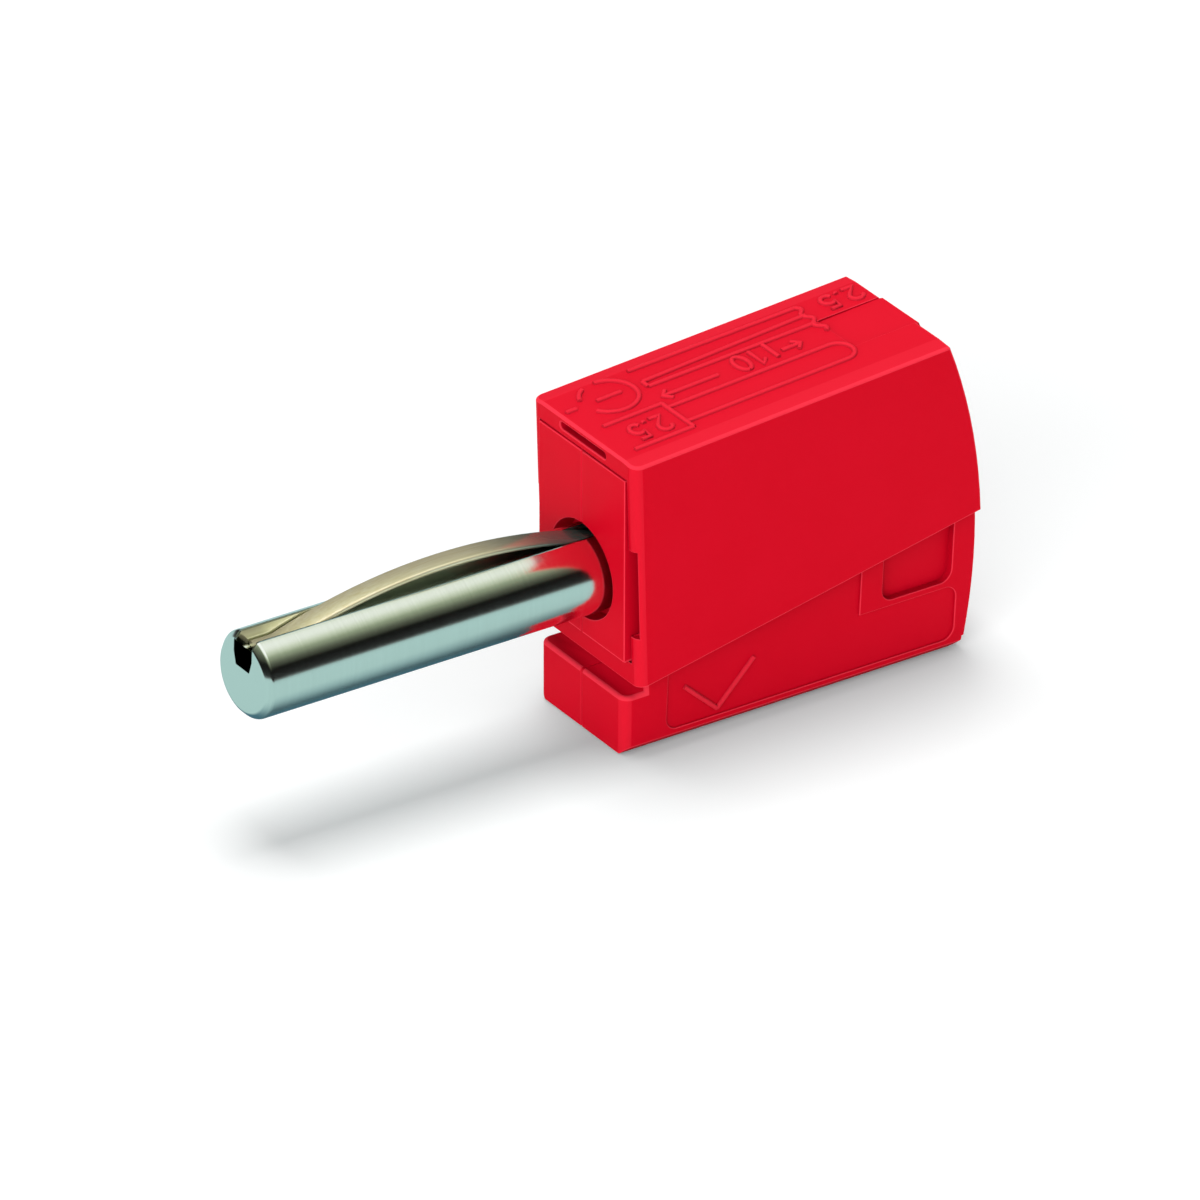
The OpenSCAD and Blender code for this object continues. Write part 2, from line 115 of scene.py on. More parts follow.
def ramp(tree, stops, label=""):
    """A colour ramp with the given (place, grey or colour) stops."""
    made = node(tree, "ShaderNodeValToRGB", label)
    elements = made.color_ramp.elements
    while len(elements) < len(stops):
        elements.new(0.5)
    for element, (place, colour) in zip(elements, stops):
        element.position = place
        element.color = (*((colour,) * 3 if isinstance(colour, (int, float)) else colour), 1)
    return made


def mix_colour(tree, factor, a, b):
    """Mixes two colours, each a socket or a plain colour, and gives the result's socket."""
    made = node(tree, "ShaderNodeMix", data_type="RGBA")
    tree.links.new(factor, made.inputs[0])
    for place, value in ((6, a), (7, b)):
        if isinstance(value, bpy.types.NodeSocket):
            tree.links.new(value, made.inputs[place])
        else:
            made.inputs[place].default_value = (*value, 1)
    return made.outputs[2]


def object_axes(tree):
    """The X, Y and Z sockets of the Object coordinates."""
    place = node(tree, "ShaderNodeTexCoord")
    axes = node(tree, "ShaderNodeSeparateXYZ")
    tree.links.new(place.outputs["Object"], axes.inputs[0])
    return axes.outputs


def smooth_fade(tree, value, first, last):
    """Goes smoothly from 0 to 1 while a socket's value goes from the first to the last."""
    made = node(tree, "ShaderNodeMapRange", interpolation_type="SMOOTHSTEP", From_Min=first, From_Max=last)
    tree.links.new(value, made.inputs["Value"])
    return made.outputs["Result"]


# %% Sky
SKY_LIGHT = (0.4, 0.4, 0.4)
MIRRORED_ROOM = [(0.0, 0.14), (0.08, 0.02), (0.42, 0.0), (0.60, (0.10, 0.11, 0.08)),
                 (0.74, (0.29, 0.34, 0.23)), (0.82, (0.62, 0.67, 0.53)), (0.89, 1.0)]
world = bpy.data.worlds.new("studio")
scene.world = world
world.use_nodes = True
sky = world.node_tree
sky.nodes.clear()
direction = node(sky, "ShaderNodeTexCoord")
height = node(sky, "ShaderNodeSeparateXYZ")
sky.links.new(direction.outputs["Generated"], height.inputs[0])
room = ramp(sky, MIRRORED_ROOM, "softbox over a dark room")
sky.links.new(height.outputs["Z"], room.inputs["Fac"])
paths = node(sky, "ShaderNodeLightPath")
lit = mix_colour(sky, paths.outputs["Is Glossy Ray"], SKY_LIGHT, room.outputs["Color"])
shown = mix_colour(sky, paths.outputs["Is Camera Ray"], lit, (1, 1, 1))
background = node(sky, "ShaderNodeBackground")
sky.links.new(shown, background.inputs["Color"])
sky_out = node(sky, "ShaderNodeOutputWorld")
sky.links.new(background.outputs[0], sky_out.inputs["Surface"])
print("mirrors see a room of", len(MIRRORED_ROOM), "tones")

# %% Softboxes


def softbox(name, size, place, power):
    """A square area lamp that faces the plug, and that mirrors don't show."""
    light = bpy.data.lights.new(name, "AREA")
    light.size = size
    light.energy = power
    lamp = bpy.data.objects.new(name, light)
    lamp.location = place
    lamp.rotation_euler = Vector(place).to_track_quat("Z", "Y").to_euler()
    lamp.visible_glossy = False
    scene.collection.objects.link(lamp)
    print(name, "lamp of", power, "W")


softbox("overhead", 0.30, (0.0, 0.09, 0.60), 1.9)
softbox("fill", 0.60, (-0.66, -0.43, 0.26), 4.1)

# %% Table
TABLE_SIZE = 3.0
TABLE_DROP = 0.00002
TABLE_SEEN = (1.0, 1.0, 1.0)
TABLE_GLOW = (0.05, 0.06, 0.06)
TABLE_BOUNCE = (0.9, 0.9, 0.9)
TABLE_MIRRORED = (0.41, 0.595, 0.60)
# Painted shadow under the plug, shown only to mirrors: the table's mirrored tone turns this dark there.
PAINTED_SHADOW_UNDER_PIN = (0.06, 0.15, 0.20)
SHADE_X = (-0.034, -0.027)
SHADE_Y = 0.004
SHADE_WIDTH = (0.015, 0.001)
paint = bpy.data.materials.new("white_table")
paint.use_nodes = True
tree = paint.node_tree
tree.nodes.clear()
paths = node(tree, "ShaderNodeLightPath")
axes = object_axes(tree)
aside = node(tree, "ShaderNodeMath", operation="SUBTRACT")
tree.links.new(axes["Y"], aside.inputs[0])
aside.inputs[1].default_value = SHADE_Y
apart = node(tree, "ShaderNodeMath", operation="ABSOLUTE")
tree.links.new(aside.outputs[0], apart.inputs[0])
# Mask of the painted shadow under the plug, for mirrors only.
shade = node(tree, "ShaderNodeMath", "under the plug", operation="MULTIPLY")
tree.links.new(smooth_fade(tree, axes["X"], *SHADE_X), shade.inputs[0])
tree.links.new(smooth_fade(tree, apart.outputs[0], *SHADE_WIDTH), shade.inputs[1])
mirrored = mix_colour(tree, shade.outputs[0], TABLE_MIRRORED, PAINTED_SHADOW_UNDER_PIN)
tone = mix_colour(tree, paths.outputs["Is Glossy Ray"], TABLE_BOUNCE, mirrored)
tone = mix_colour(tree, paths.outputs["Is Camera Ray"], tone, TABLE_SEEN)
glow = mix_colour(tree, paths.outputs["Is Camera Ray"], (0, 0, 0), TABLE_GLOW)
matt = node(tree, "ShaderNodeBsdfDiffuse")
tree.links.new(tone, matt.inputs["Color"])
shine = node(tree, "ShaderNodeEmission")
tree.links.new(glow, shine.inputs["Color"])
both = node(tree, "ShaderNodeAddShader")
tree.links.new(matt.outputs[0], both.inputs[0])
tree.links.new(shine.outputs[0], both.inputs[1])
table_out = node(tree, "ShaderNodeOutputMaterial")
tree.links.new(both.outputs[0], table_out.inputs["Surface"])
bm = bmesh.new()
bmesh.ops.create_grid(bm, size=TABLE_SIZE / 2)
bmesh.ops.translate(bm, vec=(0, 0, -TABLE_DROP), verts=bm.verts)
top = bpy.data.meshes.new("table")
bm.to_mesh(top)
bm.free()
top.materials.append(paint)
table = bpy.data.objects.new("table", top)
scene.collection.objects.link(table)
print("table", TABLE_SIZE, "m wide")

# %% [markdown]
# ## Shared finishes
# Two effects come back in several materials. Moulded and plated skins have a fine grain that breaks up
# the gloss, and drawn, rolled or turned metal has fine lines in one direction.
# Each is a node group, so that a material sets only its own scale and strength.

# %% Grain group


def new_group(name, inputs, outputs):
    """A shader node group with float or vector sockets, and its two end nodes."""
    tree = bpy.data.node_groups.new(name, "ShaderNodeTree")
    for in_out, sockets in (("INPUT", inputs), ("OUTPUT", outputs)):
        for socket, kind in sockets.items():
            tree.interface.new_socket(socket, in_out=in_out, socket_type="NodeSocket" + kind)
    return tree, node(tree, "NodeGroupInput"), node(tree, "NodeGroupOutput")


def remap(tree, value, low, high):
    """Maps a 0 to 1 value to the range between two sockets."""
    made = node(tree, "ShaderNodeMapRange")
    tree.links.new(value, made.inputs["Value"])
    tree.links.new(low, made.inputs["To Min"])
    tree.links.new(high, made.inputs["To Max"])
    return made.outputs["Result"]


CLOUD_SCALE = 260.0
grain, start, end = new_group(
    "fine_grain", {"Place": "Vector", "Size": "Float", "Smoothest": "Float", "Roughest": "Float"},
    {"Roughness": "Float", "Height": "Float", "Cloud": "Float"})
size = node(grain, "ShaderNodeMath", operation="DIVIDE")
size.inputs[0].default_value = 1.0
grain.links.new(start.outputs["Size"], size.inputs[1])
speck = node(grain, "ShaderNodeTexNoise", "grain", Detail=3.0, Roughness=0.6)
grain.links.new(start.outputs["Place"], speck.inputs["Vector"])
grain.links.new(size.outputs[0], speck.inputs["Scale"])
cloud = node(grain, "ShaderNodeTexNoise", "cloud", Scale=CLOUD_SCALE, Detail=2.0)
grain.links.new(start.outputs["Place"], cloud.inputs["Vector"])
gloss = remap(grain, cloud.outputs["Fac"], start.outputs["Smoothest"], start.outputs["Roughest"])
grain.links.new(gloss, end.inputs["Roughness"])
grain.links.new(speck.outputs["Fac"], end.inputs["Height"])
grain.links.new(cloud.outputs["Fac"], end.inputs["Cloud"])
print(grain.name, "has", len(grain.nodes), "nodes")

# %% Line group
lines, start, end = new_group(
    "fine_lines", {"Place": "Vector", "Stretch": "Vector", "Smoothest": "Float", "Roughest": "Float"},
    {"Roughness": "Float", "Height": "Float"})
stretched = node(lines, "ShaderNodeVectorMath", operation="MULTIPLY")
lines.links.new(start.outputs["Place"], stretched.inputs[0])
lines.links.new(start.outputs["Stretch"], stretched.inputs[1])
streak = node(lines, "ShaderNodeTexNoise", "streaks", Scale=1.0, Detail=4.0, Roughness=0.65)
lines.links.new(stretched.outputs[0], streak.inputs["Vector"])
gloss = remap(lines, streak.outputs["Fac"], start.outputs["Smoothest"], start.outputs["Roughest"])
lines.links.new(gloss, end.inputs["Roughness"])
lines.links.new(streak.outputs["Fac"], end.inputs["Height"])
print(lines.name, "has", len(lines.nodes), "nodes")

# %% [markdown]
# ## Red plastic
# The housing's plastic is satin and deep red. Its highlights stay red because so much light comes back
# out of the plastic itself, so the specular is low and tinted.
# A cloudy change of tone and gloss, and a very fine mould grain, keep the large faces from looking dead.
# Rounded edges, the top and the raised signs get a painted highlight, a paler red: an attribute on the mesh
# says which faces those are.
# The light that it throws back on the table is held down, so that the shadow there stays grey.

# %% Plastic


def principled(name, **sockets):
    """A material with one Principled BSDF, and its tree and shader."""
    material = bpy.data.materials.new(name)
    material.use_nodes = True
    shader = material.node_tree.nodes["Principled BSDF"]
    for key, value in sockets.items():
        shader.inputs[key.replace("_", " ")].default_value = value
    return material, material.node_tree, shader


def place_group(tree, group, **inputs):
    """Puts a shared effect in a material, on Object coordinates."""
    made = node(tree, "ShaderNodeGroup", node_tree=group)
    place = node(tree, "ShaderNodeTexCoord")
    tree.links.new(place.outputs["Object"], made.inputs["Place"])
    for key, value in inputs.items():
        made.inputs[key].default_value = value
    return made


def bump(tree, shader, height, depth):
    """Feeds a height to the shader's normal as bumps of the given depth in metres."""
    made = node(tree, "ShaderNodeBump", Strength=1.0, Distance=depth)
    tree.links.new(height, made.inputs["Height"])
    tree.links.new(made.outputs["Normal"], shader.inputs["Normal"])


# RED_HIGHLIGHT is the paler red of the painted highlight on marked faces.
RED_DEEP = (0.73, 0.001, 0.014)
RED_LIGHT = (0.77, 0.002, 0.019)
RED_HIGHLIGHT = (0.95, 0.035, 0.065)
RED_BOUNCE = (0.08, 0.004, 0.012)
PLASTIC_IOR = 1.14
HIGHLIGHT_TINT = (1.0, 0.4, 0.45, 1)
GRAIN_SIZE = 0.00012
GRAIN_DEPTH = 0.000004
HIGHLIGHT_MARK = "edge"
red_plastic, tree, shader = principled("red_plastic", IOR=PLASTIC_IOR, Specular_Tint=HIGHLIGHT_TINT)
skin = place_group(tree, grain, Size=GRAIN_SIZE, Smoothest=0.40, Roughest=0.50)
colour = mix_colour(tree, skin.outputs["Cloud"], RED_DEEP, RED_LIGHT)
# Painted highlight: faces marked in the mesh's attribute turn a paler red.
highlight_mask = node(tree, "ShaderNodeAttribute", "rounded edges", attribute_name=HIGHLIGHT_MARK)
colour = mix_colour(tree, highlight_mask.outputs["Fac"], colour, RED_HIGHLIGHT)
paths = node(tree, "ShaderNodeLightPath")
colour = mix_colour(tree, paths.outputs["Is Diffuse Ray"], colour, RED_BOUNCE)
tree.links.new(colour, shader.inputs["Base Color"])
tree.links.new(skin.outputs["Roughness"], shader.inputs["Roughness"])
bump(tree, shader, skin.outputs["Height"], GRAIN_DEPTH)
print(red_plastic.name, "has", len(tree.nodes), "nodes")

# %% [markdown]
# ## Metals
# The pin was turned and then nickel-plated, so fine rings run round it under a bright skin.
# The leaf is drawn spring metal with a straw tone and lines along its length, and it darkens towards
# the housing, so its colour fades to a darker one along X.
# Inside, the current bar is tinned and dull, and the clamp spring is rolled spring steel.

# %% Metals


def darken_along_x(tree, colour, bright_x, dark_x, dark):
    """Darkens a metal's colour along X, between two places in metres."""
    fade = smooth_fade(tree, object_axes(tree)["X"], bright_x, dark_x)
    return mix_colour(tree, fade, colour, dark)


def metal(name, dark, light, metallic, stretch, smoothest, roughest, depth, darkening=None):
    """A metal with fine lines: the stretch is how many of them fit in a metre along each axis."""
    material, tree, shader = principled(name, Metallic=metallic)
    marks = place_group(tree, lines, Stretch=stretch, Smoothest=smoothest, Roughest=roughest)
    tone = ramp(tree, [(0.35, dark), (0.65, light)], "lines")
    tree.links.new(marks.outputs["Height"], tone.inputs["Fac"])
    colour = darken_along_x(tree, tone.outputs["Color"], *darkening) if darkening else tone.outputs["Color"]
    tree.links.new(colour, shader.inputs["Base Color"])
    tree.links.new(marks.outputs["Roughness"], shader.inputs["Roughness"])
    bump(tree, shader, marks.outputs["Height"], depth)
    print(name, "has", len(tree.nodes), "nodes")
    return material


RINGS = (9000, 60, 60)
DRAWN = (150, 14000, 14000)
ROLLED = (300, 9000, 300)
# The leaf's colour turns darker towards the housing, from the first X to the second, in metres.
DARK_TOWARDS_HOUSING = (-0.0165, -0.0110, (0.13, 0.17, 0.15))
nickel = metal("nickel_plate", (0.86, 0.91, 0.84), (0.90, 0.95, 0.88), 1.0, RINGS, 0.10, 0.18, 0.0000015)
bronze = metal("spring_bronze", (0.88, 0.78, 0.47), (1.0, 0.93, 0.66), 0.6, DRAWN, 0.18, 0.28, 0.0000005,
               DARK_TOWARDS_HOUSING)
tinned = metal("tinned_copper", (0.68, 0.68, 0.66), (0.76, 0.76, 0.74), 1.0, ROLLED, 0.28, 0.40, 0.000003)
steel = metal("spring_steel", (0.56, 0.57, 0.59), (0.64, 0.65, 0.67), 1.0, ROLLED, 0.20, 0.32, 0.000002)

# %% [markdown]
# ## A bench in millimetres
# The plug is only 37 mm long, and Blender's tools lose precision on edges of hundredths of a millimetre.
# So each piece is worked on a thousand times larger, one unit to the millimetre, and shrunk when it is done.

# %% Bench helpers
MERGE = 0.001
FLAT = math.radians(0.6)


def box_mm(node_name):
    """Lowest and highest corner of a CAD node, in millimetres."""
    low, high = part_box(node_name)
    return Vector(low) / MM, Vector(high) / MM


def on_bench(name, data):
    """A working object for a mesh or curve whose unit is the millimetre."""
    work = bpy.data.objects.new(name, data)
    scene.collection.objects.link(work)
    return work


def bench_copy(node_name):
    """A merged copy of a CAD node's mesh, with the triangles of each flat face joined up."""
    bm = bmesh.new()
    bm.from_mesh(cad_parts[node_name].data)
    bmesh.ops.scale(bm, vec=(1 / MM,) * 3, verts=bm.verts)
    bmesh.ops.remove_doubles(bm, verts=bm.verts, dist=MERGE)
    bmesh.ops.dissolve_limit(bm, angle_limit=FLAT, verts=bm.verts, edges=bm.edges, delimit={"NORMAL"})
    return bm


def off_bench(work, material, slot, *nodes):
    """Turns a working object into a finished piece in metres, which rides on the plug."""
    depsgraph = bpy.context.evaluated_depsgraph_get()
    mesh = bpy.data.meshes.new_from_object(work.evaluated_get(depsgraph), preserve_all_data_layers=True,
                                           depsgraph=depsgraph)
    name = work.name
    bpy.data.objects.remove(work)
    mesh.transform(Matrix.Scale(MM, 4))
    mesh.materials.clear()
    mesh.materials.append(material)
    piece = bpy.data.objects.new(name, mesh)
    scene.collection.objects.link(piece)
    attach(piece, "root")
    if nodes:
        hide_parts(*nodes)
    print(name, len(mesh.polygons), "faces")
    return piece


# %% [markdown]
# ## Plane of the top
# The cover's top slopes, so its edges and the signs on it are placed by their depth below that plane
# and their way along it. The plane is read from the cover's own level faces.

# %% Plane of the top
LEVEL = 0.99
TOP_FALL = 4.0
cover_low, cover_high = box_mm("cover")
top_faces = [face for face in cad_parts["cover"].data.polygons
             if face.normal.z > LEVEL and face.center.z / MM > cover_high.z - TOP_FALL]
normal = sum((face.normal * face.area for face in top_faces), Vector()).normalized()
along = Vector((normal.z, 0, -normal.x)).normalized()
corners = [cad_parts["cover"].data.vertices[i].co / MM for face in top_faces for i in face.vertices]
top_front = min(corners, key=lambda corner: corner.dot(along))
top_level = max(corner.dot(normal) for corner in corners)


def on_top(u, y, lift=0.0):
    """A point of the cover's top, u behind its front edge and y from the middle."""
    return along * (top_front.dot(along) + u) + Vector((0, y, 0)) + normal * (top_level + lift)


print("top slopes", round(math.degrees(math.acos(normal.z)), 2), "degrees")

# %% [markdown]
# ## Housing
# Moulded edges are never sharp, and their small radius is what catches the light.
# A Bevel modifier with a weight on each edge rounds a copy of each solid: more on the outer edges,
# less along the seam, the pockets and the shallow fields. Hollow corners and the inside stay as they are.
# Weighted normals then keep flat faces flat, and the new faces are marked for the plastic's painted
# highlight.
# The top, its borders and the upright round corners get a smaller painted highlight, and the seam gets none.

# %% Round edges
SHARP = math.radians(13)
WIDEST = 0.2
ROUND_STEPS = 3
TURNED = math.cos(math.radians(8))
NARROW = 0.12
CORNER_FACING = 0.15
ROUND_HIGHLIGHT = 0.25
TOP_DEPTH = 0.6
TOP_HIGHLIGHT = 0.2
BORDER_HIGHLIGHT = 0.4
BORDER_Y = 3.0


def round_edges(node_name, radius_of):
    """A working copy of a CAD node, whose outer edges get the radius that radius_of gives them."""
    bm = bench_copy(node_name)
    weights = bm.edges.layers.float.new("bevel_weight_edge")
    for edge in bm.edges:
        sharp = edge.calc_face_angle(0.0) > SHARP
        if sharp and edge.is_convex:
            middle = (edge.verts[0].co + edge.verts[1].co) / 2
            edge[weights] = radius_of(middle) / WIDEST
        edge.smooth = not sharp or edge[weights] > 0
    for face in bm.faces:
        face.smooth = True
    mesh = bpy.data.meshes.new(node_name + "_moulded")
    bm.to_mesh(mesh)
    bm.free()
    work = on_bench(node_name + "_moulded", mesh)
    bevel = work.modifiers.new("edges", "BEVEL")
    bevel.limit_method = "WEIGHT"
    bevel.width = WIDEST
    bevel.segments = ROUND_STEPS
    bevel.loop_slide = False
    bevel.use_clamp_overlap = False
    normals = work.modifiers.new("normals", "WEIGHTED_NORMAL")
    normals.keep_sharp = True
    return work


def mark(piece, values):
    """Stores how much each face of a piece is an edge, which the plastic shows as a painted highlight."""
    piece.data.attributes.new(HIGHLIGHT_MARK, "FLOAT", "FACE").data.foreach_set("value", values)


def width_mm(mesh, face):
    """The mean width of a long face, in millimetres."""
    corners = [mesh.vertices[i].co for i in face.vertices]
    around = sum((a - b).length for a, b in zip(corners, corners[1:] + corners[:1]))
    return 2 * face.area / around / MM


def plain_mark(mesh, face):
    """The painted highlight of a face that isn't an edge: small on the top, its borders and upright round
    corners.
    """
    middle = face.center / MM
    if face.normal.dot(normal) > LEVEL and top_level - middle.dot(normal) < TOP_DEPTH:
        return BORDER_HIGHLIGHT if abs(middle.y) > BORDER_Y else TOP_HIGHLIGHT
    upright_corner = min(abs(face.normal.x), abs(face.normal.y)) > CORNER_FACING
    return ROUND_HIGHLIGHT if upright_corner and width_mm(mesh, face) < NARROW else 0.0


def mark_edges(piece, node_name, seam=0.0):
    """Marks the faces turned away from the CAD node's own for a painted highlight, except within the seam's
    half width.
    """
    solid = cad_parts[node_name].data
    faces = BVHTree.FromPolygons([v.co / MM for v in solid.vertices], [f.vertices for f in solid.polygons])
    values = [1.0] * len(piece.data.polygons)
    piece.data.calc_loop_triangles()
    for part in piece.data.loop_triangles:
        face = piece.data.polygons[part.polygon_index]
        middle = sum((piece.data.vertices[i].co for i in part.vertices), Vector()) / 3
        own = part.normal.dot(faces.find_nearest(middle / MM)[1]) > TURNED
        if own or abs(face.center.y) / MM < seam:
            values[face.index] = plain_mark(piece.data, face)
    mark(piece, values)
    print(piece.name, values.count(1.0), "faces are edges")


# %% Cover
RIM_R = 0.12
RIM_DEPTH = 0.2
OUTER_R = 0.08
FINE_R = 0.03
SLIT_R = 0.06
RIM_REAR = 6.5
TONGUE = {"half": 1.4, "front": 3.5}
SIDE_DEPTH = 0.02
WALL = 0.55
FOOT_RISE = 0.13
FRONT_X = -8.9
SLIT_DEPTH = 0.75
SLIT_HALF = 1.75


def cover_radius(middle):
    """Radius of one of the cover's edges: largest round its top, finest in the pockets."""
    depth = top_level - middle.dot(normal)
    if abs(middle.y) < TONGUE["half"] and middle.x > TONGUE["front"]:
        return FINE_R
    if depth < RIM_DEPTH:
        return RIM_R if middle.x < RIM_REAR else OUTER_R
    if depth < SLIT_DEPTH and middle.x < FRONT_X and abs(middle.y) < SLIT_HALF:
        return SLIT_R
    inwards = cover_high.y - abs(middle.y)
    at_foot = middle.z < cover_low.z + FOOT_RISE and (inwards < WALL or middle.x < FRONT_X)
    return OUTER_R if inwards < SIDE_DEPTH or at_foot else FINE_R


cover = off_bench(round_edges("cover", cover_radius), red_plastic, "red_plastic", "cover")
mark_edges(cover, "cover")

# %% Shells
SEAM_R = 0.08
FIELD_R = 0.04
LEDGE_R = 0.18
LEDGE_ZONE = {"rear": -8.1, "low": 2.5, "high": 4.85}
SEAM_ZONE = 0.01
SKIN = 1.6
shell_low, shell_high = box_mm("left_shell")
shell_half = shell_high.y
shell_points = [v.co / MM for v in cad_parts["left_shell"].data.vertices]


def rear_at(z):
    """Where the shells' curved rear face is at a height."""
    return max(point.x for point in shell_points if abs(point.z - z) < SKIN / 2)


def shell_radius(middle):
    """Radius of one of the shells' edges: soft round the ledge, fine on the seam and none inside."""
    within = shell_low.x + SKIN < middle.x < rear_at(middle.z) - SKIN / 2 and middle.z > SKIN / 2
    if within and abs(middle.y) < shell_half - SKIN / 4:
        return 0.0
    if abs(middle.y) < SEAM_ZONE:
        return SEAM_R
    if middle.x < LEDGE_ZONE["rear"] and LEDGE_ZONE["low"] < middle.z < LEDGE_ZONE["high"]:
        return LEDGE_R
    return FIELD_R


for side in ("left_shell", "right_shell"):
    shell = off_bench(round_edges(side, shell_radius), red_plastic, "red_plastic", side)
    mark_edges(shell, side, seam=2 * SEAM_R)

# %% [markdown]
# ## Pin
# The CAD pin has few facets, and a mirror shows each of them. So the pin is turned again, much finer:
# its profile is spun round the axis, the stepped slot is cut out, and the slot's edges get a small chamfer.

# %% Pin
PIN_STEPS = 160
PIN_R = 2.0
PIN_Z = 8.0
TIP_CHAMFER = 0.3
SPIGOT_R = 0.85
STAKE_R = 1.1
COLLAR_X = (-7.85, -6.95)
PIN_END = -6.22
STAKE_X = (-5.7, -5.4)
SLOT_END = -7.15
SLOT = (1.2, 1.05)
RELIEF = (0.85, 0.45)
SLOT_EDGE = 0.08
SLOT_SHARP = math.radians(30)
WELD = 0.0001
OVERRUN = 1.0
pin_low, pin_high = box_mm("contact_pin")
collar_r = pin_high.y
profile = [(pin_low.x, PIN_R - TIP_CHAMFER), (pin_low.x + TIP_CHAMFER, PIN_R),
           (COLLAR_X[0], PIN_R), (COLLAR_X[0], collar_r), (COLLAR_X[1], collar_r), (COLLAR_X[1], PIN_R),
           (PIN_END, PIN_R), (PIN_END, SPIGOT_R), (STAKE_X[0], SPIGOT_R), (STAKE_X[1], STAKE_R)]


def turned(name, profile, axis_z, steps):
    """A mesh turned from (x, radius) points about an axis along X."""
    bm = bmesh.new()
    points = [bm.verts.new((x, 0, axis_z + r)) for x, r in profile]
    edges = [bm.edges.new(pair) for pair in zip(points, points[1:])]
    bmesh.ops.spin(bm, geom=points + edges, cent=(0, 0, axis_z), axis=(1, 0, 0), angle=2 * math.pi,
                   steps=steps, use_merge=True)
    bmesh.ops.remove_doubles(bm, verts=bm.verts, dist=WELD)
    bmesh.ops.holes_fill(bm, edges=bm.edges)
    bmesh.ops.recalc_face_normals(bm, faces=bm.faces)
    for face in bm.faces:
        face.smooth = True
    mesh = bpy.data.meshes.new(name)
    bm.to_mesh(mesh)
    bm.free()
    return mesh


def cutter(name, width, floor):
    """A box that cuts a groove of the given width into the pin, down to a height above its axis."""
    bm = bmesh.new()
    bmesh.ops.create_cube(bm, size=1)
    length = SLOT_END - pin_low.x + OVERRUN
    bmesh.ops.scale(bm, vec=(length, width, 2 * PIN_R), verts=bm.verts)
    bmesh.ops.translate(bm, vec=(SLOT_END - length / 2, 0, PIN_Z + floor + PIN_R), verts=bm.verts)
    mesh = bpy.data.meshes.new(name)
    bm.to_mesh(mesh)
    bm.free()
    return on_bench(name, mesh)


pin = on_bench("contact_pin_turned", turned("contact_pin_turned", profile, PIN_Z, PIN_STEPS))
cutters = [cutter("slot", *SLOT), cutter("relief", *RELIEF)]
for tool in cutters:
    cut = pin.modifiers.new(tool.name, "BOOLEAN")
    cut.operation = "DIFFERENCE"
    cut.solver = "EXACT"
    cut.object = tool
chamfer = pin.modifiers.new("edges", "BEVEL")
chamfer.limit_method = "ANGLE"
chamfer.angle_limit = SLOT_SHARP
chamfer.width = SLOT_EDGE
chamfer.segments = 2
chamfer.use_clamp_overlap = False
chamfer.loop_slide = False
pin.modifiers.new("normals", "WEIGHTED_NORMAL")
off_bench(pin, nickel, "nickel_plate", "contact_pin")
for tool in cutters:
    bpy.data.objects.remove(tool)

# %% [markdown]
# ## Bars along a curve
# The leaf is a flat bar along a bow, and the raised signs on the housing are thin bars along lines.
# So one Geometry Nodes tree makes them all: it sweeps a rectangle with round corners along any curve.

# %% Sweep tree
CORNER_STEPS = 3


def sweep_tree(name):
    """The tree that sweeps a rounded bar along a curve, with the bar's sizes as inputs."""
    tree = bpy.data.node_groups.new(name, "GeometryNodeTree")
    tree.interface.new_socket("Geometry", in_out="INPUT", socket_type="NodeSocketGeometry")
    for socket in ("Width", "Thickness", "Corner"):
        tree.interface.new_socket(socket, in_out="INPUT", socket_type="NodeSocketFloat")
    tree.interface.new_socket("Material", in_out="INPUT", socket_type="NodeSocketMaterial")
    tree.interface.new_socket("Geometry", in_out="OUTPUT", socket_type="NodeSocketGeometry")
    start = node(tree, "NodeGroupInput")
    bar = node(tree, "GeometryNodeCurvePrimitiveQuadrilateral")
    soft = node(tree, "GeometryNodeFilletCurve", mode="POLY", Count=CORNER_STEPS)
    sweep = node(tree, "GeometryNodeCurveToMesh", Fill_Caps=True)
    whole = node(tree, "GeometryNodeRealizeInstances")
    finish = node(tree, "GeometryNodeSetMaterial")
    end = node(tree, "NodeGroupOutput")
    for a, b in ((start.outputs["Width"], bar.inputs["Width"]),
                 (start.outputs["Thickness"], bar.inputs["Height"]),
                 (bar.outputs["Curve"], soft.inputs["Curve"]),
                 (start.outputs["Corner"], soft.inputs["Radius"]),
                 (start.outputs["Geometry"], sweep.inputs["Curve"]),
                 (soft.outputs["Curve"], sweep.inputs["Profile Curve"]),
                 (sweep.outputs["Mesh"], whole.inputs["Geometry"]),
                 (whole.outputs["Geometry"], finish.inputs["Geometry"]),
                 (start.outputs["Material"], finish.inputs["Material"]),
                 (finish.outputs["Geometry"], end.inputs["Geometry"])):
        tree.links.new(a, b)
    return tree


bar_sweep = sweep_tree("rounded_bar")
print(bar_sweep.name, "has", len(bar_sweep.nodes), "nodes")


def sweep(name, paths, width, thickness, corner, material):
    """A working object: a rounded bar along each path, a list of points in millimetres."""
    curve = bpy.data.curves.new(name, "CURVE")
    curve.dimensions = "3D"
    curve.twist_mode = "Z_UP"
    for path in paths:
        spline = curve.splines.new("POLY")
        spline.points.add(len(path) - 1)
        for point, place in zip(spline.points, path):
            point.co = (*place, 1)
    work = on_bench(name, curve)
    modifier = work.modifiers.new("sweep", "NODES")
    modifier.node_group = bar_sweep
    values = {"Width": width, "Thickness": thickness, "Corner": corner, "Material": material}
    for item in bar_sweep.interface.items_tree:
        if item.in_out == "INPUT" and item.name in values:
            modifier[item.identifier] = values[item.name]
    return work


